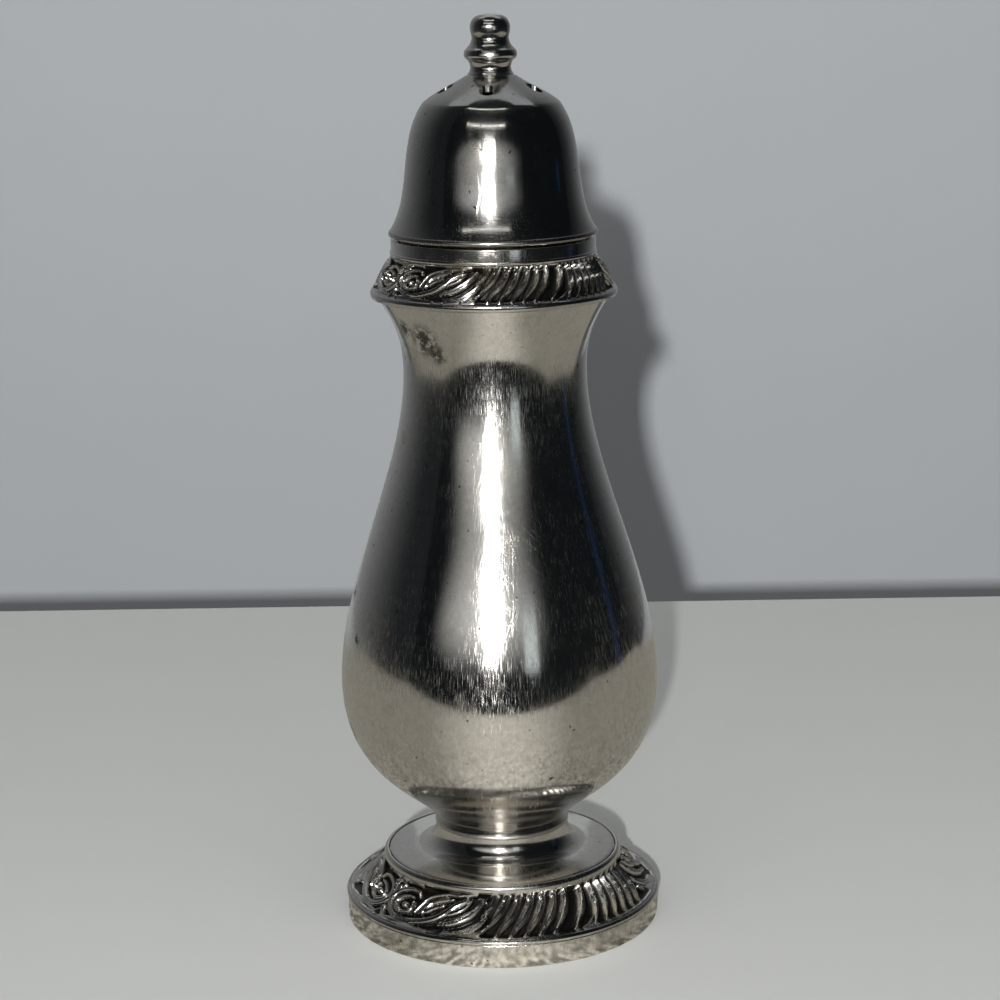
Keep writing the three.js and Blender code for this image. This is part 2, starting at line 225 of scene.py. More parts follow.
class Nodes:
    """A node tree, with short calls for the nodes that the looks are made of."""

    def __init__(self, tree: bpy.types.NodeTree) -> None:
        """Takes the tree that the nodes are added to."""
        self.tree = tree

    def fill(self, node: bpy.types.Node, inputs: dict) -> None:
        """Links or sets inputs of a node.

        Args:
            node: the node.
            inputs: for the name or number of each input, a socket to link or a value to write, or None to
                leave it.
        """
        for key, value in inputs.items():
            target = node.inputs[key]
            if isinstance(value, Socket):
                self.tree.links.new(value, target)
            elif value is not None:
                target.default_value = (*value, 1) if target.type == "RGBA" else value

    def node(self, kind: str, inputs: dict, **settings: str) -> bpy.types.Node:
        """Adds a node.

        Args:
            kind: its type, without the words that every shader node's type starts with.
            inputs: what fill() gives its inputs.
            **settings: its own settings, such as an operation.

        Returns:
            The new node.
        """
        node = self.tree.nodes.new("ShaderNode" + kind)
        for key, value in settings.items():
            setattr(node, key, value)
        self.fill(node, inputs)
        return node

    def maths(self, operation: str, first: Socket, second: Socket | float = 0.0) -> Socket:
        """Combines two values by a named operation."""
        return self.node("Math", {0: first, 1: second}, operation=operation).outputs["Value"]

    def blend(self, share: Socket, first: Socket | Colour, second: Colour) -> Socket:
        """Mixes a share of the second colour into the first."""
        return self.node("Mix", {0: share, 6: first, 7: second}, data_type="RGBA").outputs[2]

    def remap(self, value: Socket, low: float, high: float, to_low: float = 0.0,
              to_high: float = 1.0) -> Socket:
        """Maps the values from low to high smoothly on those from to_low to to_high."""
        inputs = {"Value": value, "From Min": low, "From Max": high, "To Min": to_low, "To Max": to_high}
        return self.node("MapRange", inputs, interpolation_type="SMOOTHSTEP").outputs["Result"]

    def noise(self, vector: Socket, scale: float = 1.0, detail: float = 3.0,
              roughness: float = 0.5) -> Socket:
        """The value of a noise texture on a vector."""
        inputs = {"Vector": vector, "Scale": scale, "Detail": detail, "Roughness": roughness}
        return self.node("TexNoise", inputs).outputs["Fac"]

    def scaled(self, vector: Socket, scale: Spot, **inputs: Vector | Spot) -> Socket:
        """A vector counted in steps of a scale in metres, after the moves and turns that inputs give."""
        inputs = {"Vector": vector, "Scale": scale, **inputs}
        return self.node("Mapping", inputs, vector_type="TEXTURE").outputs["Vector"]

    def bearing(self, across: Socket, back: Socket) -> Socket:
        """Angle in radians from the front towards +X, of a place's X and Y."""
        return self.maths("ARCTAN2", across, self.maths("MULTIPLY", back, -1.0))

    def bump(self, height: Socket, distance: float, strength: float, below: Socket | None = None) -> Socket:
        """Bumps the normal below by a height from 0 to 1, where 1 stands for a distance in millimetres."""
        inputs = {"Height": height, "Distance": distance * MM, "Strength": strength, "Normal": below}
        return self.node("Bump", inputs).outputs["Normal"]


class Board(Nodes):
    """The nodes of a material with one Principled shader, on object coordinates."""

    # Radius in millimetres at which widths on the unrolled surface are true
    UNROLLED_RADIUS = 15
    # Share of a mark's radius within which it is at its full strength
    CORE = 0.2

    def __init__(self, name: str) -> None:
        """Starts a material of this name."""
        self.material = bpy.data.materials.new(name)
        self.material.use_nodes = True
        super().__init__(self.material.node_tree)
        self.shader = self.tree.nodes["Principled BSDF"]
        self.place = self.node("TexCoord", {}).outputs["Object"]

    def around(self, width: float, height: float, lean: float = 0) -> Socket:
        """Unrolls the surface about the upright axis.

        Args:
            width: width of a detail round the axis in millimetres.
            height: height of a detail up the axis in millimetres.
            lean: degrees that the details lean by.

        Returns:
            The vector that a flat texture reads.
        """
        across, back, level = self.node("SeparateXYZ", {0: self.place}).outputs
        arc = self.maths("MULTIPLY", self.bearing(across, back), self.UNROLLED_RADIUS * MM)
        flat = self.node("CombineXYZ", {"X": arc, "Y": level}).outputs["Vector"]
        return self.scaled(flat, (width * MM, height * MM, 1), Rotation=(0, 0, math.radians(lean)))

    def near(self, spot: Spot, radius: float) -> Socket:
        """A mark round a spot, which is 1 in its core and 0 beyond its radius; both are in millimetres."""
        gap = self.node("VectorMath", {0: self.place, 1: metres(spot)}, operation="DISTANCE").outputs["Value"]
        return self.remap(gap, radius * MM, self.CORE * radius * MM)


# Finishes


class Grain(Enum):
    """Fine polishing lines, as the width of a line round the axis and up the axis, in millimetres."""

    RUBBED = (0.12, 3.6)
    TURNED = (16.0, 0.13)
    EVEN = (0.3, 0.3)


class Speckle(Enum):
    """Spots of noise: their number in a metre, detail and roughness, and the values that become 0 and 1."""

    PITS = (1100, 1.0, 0.5, 0.74, 0.8)
    TARNISH = (160, 6.0, 0.65, 0.56, 0.72)
    RAGGED = (900, 4.0, 0.7, 0.38, 0.54)
    WORN = (45, 2.0, 0.5, 0.38, 0.62)
    MOTTLED = (1200, 2.0, 0.5, 0.35, 0.65)
    PATCHED = (85, 1.0, 0.5, 0.4, 0.62)

    def drawn(self, board: Board, between: float = 0.0, inside: float = 1.0) -> Socket:
        """Draws the spots in a material, with one value between them and another in them."""
        scale, detail, roughness, low, high = self.value
        return board.remap(board.noise(board.place, scale, detail, roughness), low, high, between, inside)


@dataclass
class Coat:
    """Colour and roughness of the metal, which gather one kind of soil and wear after another.

    Attributes:
        board: the material's nodes.
        colour: the colour so far.
        roughness: the roughness so far.
    """

    board: Board
    colour: Socket | Colour
    roughness: Socket

    def dull(self, share: Socket, dulling: Socket | float) -> None:
        """Adds a share of some roughness."""
        rise = self.board.maths("MULTIPLY", share, dulling)
        self.roughness = self.board.maths("ADD", self.roughness, rise)

    def soil(self, share: Socket, cover: float, tint: Colour, dulling: float = 0.0) -> None:
        """Lays a tint over the metal.

        Args:
            share: how thick it lies, from 0 to 1.
            cover: share of the colour below that it hides where it is thickest.
            tint: its colour.
            dulling: roughness that it adds where it is thickest.
        """
        self.colour = self.board.blend(self.board.maths("MULTIPLY", share, cover), self.colour, tint)
        if dulling:
            self.dull(share, dulling)


@dataclass(frozen=True)
class Stain:
    """A dark mark of tarnish, with its middle and its radius in millimetres."""

    spot: Spot
    radius: float


@dataclass(frozen=True)
class Finish:
    """A finish of this name, which dresses a material of its own."""

    name: str

    def material(self) -> Material:
        """Builds the finish.

        Returns:
            A node material.
        """
        board = Board(self.name)
        self._dress(board)
        return board.material

    def _dress(self, board: Board) -> None:
        """Fills the shader of the material on a board."""
        raise NotImplementedError


@dataclass(frozen=True)
class SilverPlate(Finish):
    """Silver plate with polishing lines, scratches, pits and tarnish.

    Attributes:
        tone: colour of the clean metal.
        polish: roughness of the clean metal.
        haze: roughness where the polish is dull.
        bloom: roughness added in hairlines of fine wear, which draw a glow round the highlights.
        wear: direction of the hairlines.
        grain: direction of the polishing lines.
        grain_depth: depth of the polishing lines in millimetres.
        scratch_depth: depth of the stray scratches in millimetres.
        tarnish: share of the surface that is tinted by tarnish, from 0 to 1.
        ripple: depth in millimetres of the unevenness left by the rolling of the sheet.
        mottle: how far the tone varies from spot to spot, as a share.
        stretch: how far highlights are drawn out up and down, from 0 to 1.
        recessed: whether the piece has an ornament whose recesses are dark.
        stains: single dark marks.
    """

    tone: Colour = (0.74, 0.715, 0.67)
    polish: float = 0.06
    haze: float = 0.13
    bloom: float = 0.14
    wear: Grain = Grain.EVEN
    grain: Grain = Grain.TURNED
    grain_depth: float = 0.0025
    scratch_depth: float = 0.003
    tarnish: float = 0.4
    ripple: float = 0.002
    mottle: float = 0.08
    stretch: float = 0.5
    recessed: bool = False
    stains: tuple[Stain, ...] = ()

    TARNISH_TINT = (0.42, 0.34, 0.22)
    PIT_TINT = (0.03, 0.028, 0.025)
    MOTTLE_TINT = (0.12, 0.115, 0.1)
    STAIN_TINT = (0.05, 0.038, 0.026)
    GRIME_TINT = (0.03, 0.029, 0.027)
    # Lean of the scratches in degrees, and their width and length in millimetres
    SCRATCHES = ((-15, 0.09, 16.0), (9, 0.08, 12.0), (-3, 0.1, 24.0), (40, 0.09, 6.0))

    def _dress(self, board: Board) -> None:
        """Lays the soil and wear over the clean metal.

        Args:
            board: the material's nodes.
        """
        cloud = board.noise(board.place, scale=70, detail=5.0, roughness=0.6)
        scratches = self._scratches(board)
        hairlines = board.noise(board.around(*self.wear.value), scale=1.6, detail=2.0, roughness=0.7)
        coat = Coat(board, self.tone, board.remap(cloud, 0.35, 0.7, self.polish, self.haze))
        coat.dull(scratches, 0.07)
        coat.soil(Speckle.TARNISH.drawn(board), self.tarnish, self.TARNISH_TINT, dulling=0.1)
        coat.soil(Speckle.PITS.drawn(board), 0.8, self.PIT_TINT)
        coat.dull(board.remap(hairlines, 0.44, 0.8, 0.0, self.bloom), Speckle.WORN.drawn(board, 0.45, 1.0))
        # Darker spots of uneven tone; on the foot band they are also a painted reflection of the woven cloth
        coat.soil(Speckle.MOTTLED.drawn(board), self.mottle, self.MOTTLE_TINT)
        for stain in self.stains:
            dark = board.maths("MULTIPLY", board.near(stain.spot, stain.radius), Speckle.RAGGED.drawn(board))
            coat.soil(dark, 0.9, self.STAIN_TINT, dulling=0.3)
        if self.recessed:
            relief = board.node("Attribute", {}, attribute_name="relief").outputs["Fac"]
            uneven = board.remap(cloud, 0.1, 0.45, 0.85, 1.0)
            grime = board.maths("MULTIPLY", board.remap(relief, 0.55, 0.2), uneven)
            coat.soil(grime, 1.0, self.GRIME_TINT, dulling=0.25)
        normal = self._normal(board, cloud, scratches)
        look = {"Base Color": coat.colour, "Metallic": 1.0, "Roughness": coat.roughness, "Normal": normal}
        if self.stretch:
            tangent = board.node("Tangent", {}, direction_type="RADIAL", axis="Z").outputs["Tangent"]
            look |= {"Anisotropic": self.stretch, "Anisotropic Rotation": 0.25, "Tangent": tangent}
        board.fill(board.shader, look)

    def _scratches(self, board: Board) -> Socket:
        """Lays thin stray scratches that lean several ways.

        Args:
            board: the material's nodes.

        Returns:
            A value that is 1 in a scratch and 0 beside it.
        """
        total = None
        for lean, width, length in self.SCRATCHES:
            drawn = board.remap(board.noise(board.around(width, length, lean), detail=0.0), 0.66, 0.76)
            total = board.maths("MAXIMUM", total, drawn) if total else drawn
        return board.maths("MULTIPLY", total, Speckle.PATCHED.drawn(board, 0.25, 1.0))

    def _normal(self, board: Board, cloud: Socket, scratches: Socket) -> Socket:
        """Lays the polishing lines, the ripple of the sheet and the scratches on each other.

        Args:
            board: the material's nodes.
            cloud: broad soft noise.
            scratches: what _scratches() gives.

        Returns:
            The bumped normal.
        """
        lines = board.noise(board.around(*self.grain.value), detail=2.0)
        dents = board.noise(board.place, scale=420, detail=2.0)
        wear = board.maths("SUBTRACT", board.maths("MULTIPLY", cloud, 0.4), scratches)
        normal = None
        for height, depth, strength in (
            (lines, self.grain_depth, 0.5), (dents, self.ripple, 1.0), (wear, self.scratch_depth, 0.6)
        ):
            normal = board.bump(height, depth, strength, normal)
        return normal


@dataclass(frozen=True)
class StagePaint(Finish):
    """Matt paint of the table and the backdrop.

    Attributes:
        colour: its colour.
        mottle: how far the colour varies, as a share.
    """

    colour: Colour
    mottle: float = 0.03

    def _dress(self, board: Board) -> None:
        """Fills the shader with the paint.

        Args:
            board: the material's nodes.
        """
        darker = tuple(c * (1 - self.mottle) for c in self.colour)
        colour = board.blend(board.noise(board.place, scale=25), self.colour, darker)
        board.fill(board.shader, {"Base Color": colour, "Roughness": 0.9})


@dataclass(frozen=True)
class CardPaint(Finish):
    """Tone of a card that only the polished metal shows.

    Attributes:
        tone: the tone at its start.
        far_tone: the tone at its end, if it changes.
        start: degrees from the front at which the tone starts to change.
        end: degrees from the front at which it is the far tone.
        unevenness: how far the brightness varies from spot to spot, as a share.
    """

    tone: Colour
    far_tone: Colour | None = None
    start: float = 0.0
    end: float = 180.0
    unevenness: float = 0.0
    # Width and depth of a spot in millimetres
    SPOT_SIZE = (1.2, 2.4)

    def _dress(self, board: Board) -> None:
        """Makes the card glow evenly in its tones.

        Args:
            board: the material's nodes.
        """
        tone, strength = self.tone, 1.0
        if self.far_tone:
            tone = board.blend(self._share(board), self.tone, self.far_tone)
        if self.unevenness:
            width, depth = self.SPOT_SIZE
            spots = board.noise(board.scaled(board.place, (width * MM, depth * MM, MM)), detail=1.0)
            strength = board.remap(spots, 0.36, 0.64, 1 - self.unevenness, 1 + self.unevenness)
        look = {"Base Color": (0, 0, 0), "Specular IOR Level": 0, "Emission Color": tone}
        board.fill(board.shader, look | {"Emission Strength": strength})

    def _share(self, board: Board) -> Socket:
        """The share of the far tone, which grows from the start to the end on both sides.

        Args:
            board: the material's nodes.

        Returns:
            A value from 0 to 1.
        """
        across, back, _ = board.node("SeparateXYZ", {0: board.place}).outputs
        angle = board.bearing(board.maths("ABSOLUTE", across), back)
        return board.remap(angle, math.radians(self.start), math.radians(self.end))


@dataclass(frozen=True)
class GlowPaint(CardPaint):
    """Tone of a card that fades from its middle to its rim.

    Attributes:
        middle: the card's middle in millimetres.
        reach: its half width and half height in millimetres.
    """

    middle: Spot = (0.0, 0.0, 0.0)
    reach: Point = (100.0, 100.0)

    def _share(self, board: Board) -> Socket:
        """The share of the far tone, which grows from the middle to the rim.

        Args:
            board: the material's nodes.

        Returns:
            A value from 0 to 1.
        """
        width, height = self.reach
        flat = board.scaled(board.place, (width * MM, 1, height * MM), Location=metres(self.middle))
        return board.remap(board.node("VectorMath", {0: flat}, operation="LENGTH").outputs["Value"], 0.0, 1.0)


@dataclass(frozen=True)
class Finishes:
    """The finishes of the shaker's surfaces, each made once."""

    body: Material
    cap: Material
    band: Material
    turned: Material
    wire: Material
    cast: Material
    solder: Material

    @classmethod
    def made(cls) -> "Finishes":
        """Builds every finish.

        Returns:
            The finishes.
        """
        marks = (((-9.6, -9.8, 86.6), 3.6), ((-12.0, -7.0, 88.0), 2.2), ((-8.0, -11.0, 84.6), 2.0),
                 ((-20.3, -3.0, 49.4), 1.6), ((-21.6, -6.0, 29.4), 2.0), ((-20.0, -9.0, 44.0), 1.2))
        stains = tuple(Stain(*mark) for mark in marks)
        plates = {
            "body": SilverPlate("body_plate", bloom=0.36, wear=Grain.RUBBED, stains=stains),
            "cap": SilverPlate("cap_plate", (0.57, 0.555, 0.525), haze=0.16, bloom=0.19, grain_depth=0.004,
                               tarnish=0.2, stretch=0.65),
            # The band's strong mottle is partly painted reflection: darker spots that stand for the woven
            # cloth mirrored in it
            "band": SilverPlate("band_plate", (0.82, 0.79, 0.72), polish=0.1, haze=0.2, bloom=0.3,
                                ripple=0.02, mottle=0.3, stretch=0.0),
            "turned": SilverPlate("turned_plate", polish=0.07, haze=0.15, grain_depth=0.005, stretch=0.3),
            "wire": SilverPlate("wire_plate", (0.42, 0.4, 0.37), polish=0.12, haze=0.24, stretch=0.0),
            "cast": SilverPlate("cast_plate", (0.64, 0.62, 0.58), polish=0.1, haze=0.2, bloom=0.1,
                                grain=Grain.EVEN, grain_depth=0.002, scratch_depth=0.002, stretch=0.0,
                                recessed=True),
            "solder": SilverPlate("solder_seam", (0.62, 0.6, 0.56), polish=0.25, haze=0.4, grain=Grain.EVEN,
                                  stretch=0.0),
        }
        return cls(**{part: plate.material() for part, plate in plates.items()})


# Cast ornament


@dataclass(frozen=True)
class Stroke:
    """A raised rounded stroke of the ornament.

    Attributes:
        path: points as degrees from a junction of two scrolls and level from the lip, 0, to the moulding, 1.
        widths: half widths at the start, middle and end, in millimetres on the foot's border.
        height: height as a share of the relief.
        vein: depth of the groove along its middle, as a share of its height.
        crest: shape of its top, from 0 for round to 1 for sharp with hollow flanks.
    """

    path: Profile
    widths: Spot = (0.3, 0.5, 0.3)
    height: float = 1.0
    vein: float = 0.0
    crest: float = 0.0

    # Points on each stretch of a path
    STEPS = 9
    # Powers that shape a round top and a sharp one, and the width of a vein as a share of the half width
    ROUND_POWER = 0.65
    SHARP_POWER = 1.3
    VEIN_WIDTH = 0.24

    def traced(self, per_degree: float, per_level: float, scale: float) -> np.ndarray:
        """Smooths the path.

        Args:
            per_degree: millimetres in a degree.
            per_level: millimetres from the lip to the moulding.
            scale: scale of the widths.

        Returns:
            Rows of position along the ring, position up the field and half width, in millimetres.
        """
        given = np.array(self.path) * (per_degree, per_level)
        ends = np.vstack([2 * given[0] - given[1], given, 2 * given[-1] - given[-2]])
        share = np.linspace(0, 1, self.STEPS, endpoint=False)[:, None]
        stretches = []
        for a, b, c, d in zip(ends, ends[1:], ends[2:], ends[3:]):
            bend = 2 * a - 5 * b + 4 * c - d
            twist = -a + 3 * b - 3 * c + d
            stretches.append(0.5 * (2 * b + (c - a) * share + bend * share**2 + twist * share**3))
        points = np.vstack([*stretches, given[-1:]])
        widths = np.interp(np.linspace(0, 1, len(points)), (0, 0.5, 1), self.widths) * scale
        return np.column_stack([points, widths])

    def relief(self, places: np.ndarray, traced: np.ndarray) -> np.ndarray:
        """Height of the stroke at each place.

        Args:
            places: rows of position along the ring and up the field, in millimetres.
            traced: what traced() gives.

        Returns:
            Heights from 0 to 1, one for each place.
        """
        heights = np.zeros(len(places))
        reach = traced[:, 2].max()
        low, high = traced[:, :2].min(0) - reach, traced[:, :2].max(0) + reach
        near = np.flatnonzero(np.all((places > low) & (places < high), axis=1))
        spots = places[near]
        least = np.full(len(near), np.inf)
        for (ax, ay, aw), (bx, by, bw) in zip(traced, traced[1:]):
            run = np.array((bx - ax, by - ay))
            along = np.clip(((spots - (ax, ay)) @ run) / max(run @ run, 1e-9), 0, 1)
            gap = np.hypot(spots[:, 0] - ax - along * run[0], spots[:, 1] - ay - along * run[1])
            least = np.minimum(least, gap / (aw + (bw - aw) * along))
        round_top = np.clip(1 - least**2, 0, 1) ** self.ROUND_POWER
        inside = round_top + self.crest * (np.clip(1 - least, 0, 1) ** self.SHARP_POWER - round_top)
        groove = self.vein * np.exp(-((least / self.VEIN_WIDTH) ** 2))
        heights[near] = self.height * inside * (1 - groove)
        return heights


# The acanthus leaf between a scroll and the gadroons
LEAF = (
    Stroke(((30, 0.19), (36, 0.31), (41, 0.49), (44.5, 0.67), (47.4, 0.88)), (0.45, 0.82, 0.36), 1.0, 0.3),
    Stroke(((33, 0.03), (40, 0.08), (45.5, 0.28), (48.8, 0.48)), (0.4, 0.74, 0.34), 0.95, 0.3),
    Stroke(((41, -0.02), (46, 0.06), (49.4, 0.24)), (0.35, 0.6, 0.3), 0.9, 0.2),
    Stroke(((29, 0.42), (34, 0.52), (38.5, 0.66), (41.5, 0.84)), (0.4, 0.6, 0.3), 0.9, 0.2),
    Stroke(((18, 0.53), (20, 0.7), (23, 0.82), (29, 0.92), (36, 0.94), (44, 0.99)), (0.26, 0.4, 0.3), 0.85),
    Stroke(((22, 0.44), (25, 0.58), (29, 0.65)), (0.42, 0.56, 0.3), 0.85, 0.2),
    Stroke(((24, 0.68), (28, 0.78), (33, 0.82)), (0.36, 0.5, 0.3), 0.85),
    Stroke(((17, 0.36), (18, 0.5), (20, 0.66)), (0.26, 0.38, 0.26), 0.8),
    Stroke(((20.5, 0.36), (21.5, 0.52), (23.4, 0.66)), (0.26, 0.38, 0.26), 0.8),
)

# The scroll with its stems, eye and outer arcs, and the drop at the junction
SCROLL = (
    Stroke(((-2.2, 0.8), (-0.4, 0.55), (3, 0.28), (8, 0.14), (16, 0.13), (24, 0.25), (29, 0.41), (33, 0.62),
            (36, 0.75), (39.5, 0.83)), (0.4, 0.62, 0.6), 1.0, 0.15),
    Stroke(((4.5, 0.04), (12, 0.05), (18, 0.02), (26, -0.02)), (0.3, 0.4, 0.25), 0.75),
    Stroke(((14, 0.57), (14.7, 0.43), (13, 0.32), (9.2, 0.28), (5.7, 0.35), (4.9, 0.49), (7, 0.61),
            (10, 0.67), (12.4, 0.68)), (0.34, 0.48, 0.3), 0.95),
    Stroke(((9.8, 0.46), (10.2, 0.46)), (0.62, 0.62, 0.62), 0.95),
    Stroke(((1.6, 0.44), (1.9, 0.62), (5, 0.78), (10, 0.85), (14, 0.83), (16, 0.73)),
           (0.34, 0.48, 0.28), 0.85),
    Stroke(((-4, 0.87), (1, 0.96), (8, 1.0), (15, 0.98)), (0.3, 0.36, 0.26), 0.7),
    Stroke(((-0.6, 0.22), (1, 0.1), (3.2, 0.0)), (0.36, 0.5, 0.34), 0.85),
)


@dataclass(frozen=True)
class BorderPattern:
    """Traditional border of scrolls, acanthus leaves and gadroons.

    Scrolls and leaves are mirrored about each junction of two scrolls. The gadroons of the run between two
    leaves all lean the same way.

    Attributes:
        repeats: number of junctions round the ring.
        junction: degrees from the front to one junction, towards +X.
        gadroons: number of gadroons in a run.
        first: degrees from the junction to the top of the first gadroon.
        pitch: degrees from one gadroon to the next.
        gap: degrees by which the middle of the run is opened.
        lean: degrees that a gadroon's top is ahead of its foot, in the first half of the run.
        late_lean: the same in the second half.
        bulge: degrees by which the last gadroon bows out in its middle.
        leaf_levels: levels of the feet of the first two gadroons, on the leaf, and of all the others.
        top_level: level of the gadroons' tops, above the field, so that they run under the moulding.
        mean_radius: mean radius in millimetres of the field that the strokes' widths are given for.
    """

    repeats: int = 2
    junction: float = -56.0
    gadroons: int = 14
    first: float = 52.7
    pitch: float = 5.6
    gap: float = 3.1
    lean: float = 10.4
    late_lean: float = 7.2
    bulge: float = 4.0
    leaf_levels: Spot = (0.5, 0.24, 0.02)
    top_level: float = 1.12
    mean_radius: float = 20.3

    def _gadroons(self) -> list[Stroke]:
        """Draws one run of gadroons.

        Returns:
            The gadroons, and the drop in the run's middle.
        """
        drawn = []
        half = self.gadroons // 2
        for i in range(self.gadroons):
            top = self.first + i * self.pitch + (self.gap if i >= half else 0)
            lean = self.lean if i <= half else self.late_lean
            bulge = self.bulge * i / self.gadroons
            path = []
            for level in np.linspace(self.top_level, self.leaf_levels[min(i, 2)], 6):
                back = min(1.17 * max(1 - level, 0) ** 1.1, 1.06)
                path.append((top - lean * back + bulge * math.sin(math.pi * level), float(level)))
            drawn.append(Stroke(tuple(path), (0.85, 1.0, 0.45), crest=0.75))
        middle = self.first + half * self.pitch
        drop = ((middle - 4.2, 0.0), (middle - 1.2, 0.06), (middle + 2.2, 0.2))
        return [*drawn, Stroke(drop, (0.4, 0.55, 0.3), 0.85)]

    def relief(self, angles: np.ndarray, levels: np.ndarray, radius: float, length: float) -> np.ndarray:
        """Relief of the whole ring.

        Args:
            angles: degrees from the front towards +X, one for each place.
            levels: levels from the lip, 0, to the moulding, 1.
            radius: mean radius of the field in millimetres.
            length: distance from the lip to the moulding in millimetres.

        Returns:
            Heights from 0 to 1, one for each place.
        """
        period = 360 / self.repeats
        ahead = (angles - self.junction) % period
        near = np.minimum(ahead, period - ahead)
        per_degree = math.radians(1) * radius
        heights = np.zeros(len(angles))
        drawn = [(stroke, (near, -near)) for stroke in (*LEAF, *SCROLL)]
        drawn += [(stroke, (ahead,)) for stroke in self._gadroons()]
        for stroke, sides in drawn:
            traced = stroke.traced(per_degree, length, radius / self.mean_radius)
            for side in sides:
                places = np.column_stack([side * per_degree, levels * length])
                heights = np.maximum(heights, stroke.relief(places, traced))
        return heights


@dataclass(frozen=True)
class CastBorder:
    """A ring with a field of cast ornament.

    Attributes:
        name: name of the piece.
        node: CAD node that it stands for.
        lip: section from the ring's lower outer corner to the lower end of the field's line of tops.
        rim: section from the upper end of that line round the inside to the start.
        swell: how far the line swells in its middle.
        rows: rows of faces up the field.
        segments: steps round the ring.
        depth: depth of the ground below the tops.
        edge_depth: share of that depth at the field's edges.
        shallows: shares of the field, at the lip and at the rim, over which the ground deepens.
    """

    name: str
    node: str
    lip: Section
    rim: Section
    swell: float
    rows: int = 40
    segments: int = 960
    depth: float = 0.85
    edge_depth: float = 0.25
    shallows: Point = (0.12, 0.07)

    # Slack in finding the field, as a share of its length and as millimetres below its tops
    LENGTH_SLACK = 1e-4
    HEIGHT_SLACK = 0.1

    def build(self, pattern: BorderPattern, material: Material) -> Piece:
        """Makes the ring.

        Args:
            pattern: the ornament.
            material: the finish, which reads the relief attribute.

        Returns:
            The finished piece.
        """
        lower, upper = self.lip[-1], self.rim[0]
        middle = [(a + b) / 2 + self.swell for a, b in zip(lower, upper)]
        handles = [tuple(e + (m - e) * 2 / 3 for e, m in zip(end, middle)) for end in (lower, upper)]
        field = cubic(lower, *handles, upper, self.rows)
        mesh = turned([*self.lip[:-1], *field, *self.rim[1:]], self.segments)
        self._carve(mesh, pattern)
        return place(mesh, self.name, material, "vessel", (self.node,), weigh_normals=False)

    def _carve(self, mesh: Mesh, pattern: BorderPattern) -> None:
        """Lowers the field's ground and keeps the relief as an attribute.

        Args:
            mesh: the spun ring.
            pattern: the ornament.
        """
        spots = np.array([v.co for v in mesh.verts]) / MM
        radii, angles = np.hypot(spots[:, 0], spots[:, 1]), np.degrees(np.arctan2(spots[:, 0], -spots[:, 1]))
        lower, upper = self.lip[-1], self.rim[0]
        run = np.array(upper) - lower
        length = float(np.hypot(*run))
        along = run / length
        normal = np.array((along[1], -along[0]))
        offsets = np.column_stack([radii, spots[:, 2]]) - lower
        levels, heights = offsets @ along / length, offsets @ normal
        field = np.abs(levels - 0.5) < 0.5 + self.LENGTH_SLACK
        field &= heights > -abs(self.swell) - self.HEIGHT_SLACK
        relief = np.ones(len(spots))
        relief[field] = pattern.relief(angles[field], levels[field], (lower[0] + upper[0]) / 2, length)
        inside = np.clip(levels, 0, 1)
        from_edge = np.clip(np.minimum(inside / self.shallows[0], (1 - inside) / self.shallows[1]), 0, 1)
        ground = self.edge_depth + (1 - self.edge_depth) * np.sin(np.pi / 2 * from_edge)
        cut = np.where(field, self.depth * ground * (1 - relief), 0)
        outwards = spots[:, :2] / radii[:, None]
        spots[:, :2] -= outwards * (cut * normal[0])[:, None]
        spots[:, 2] -= cut * normal[1]
        layer = mesh.verts.layers.float.new("relief")
        for vertex, spot, share in zip(mesh.verts, spots * MM, relief):
            vertex.co = spot
            vertex[layer] = share


# Foot


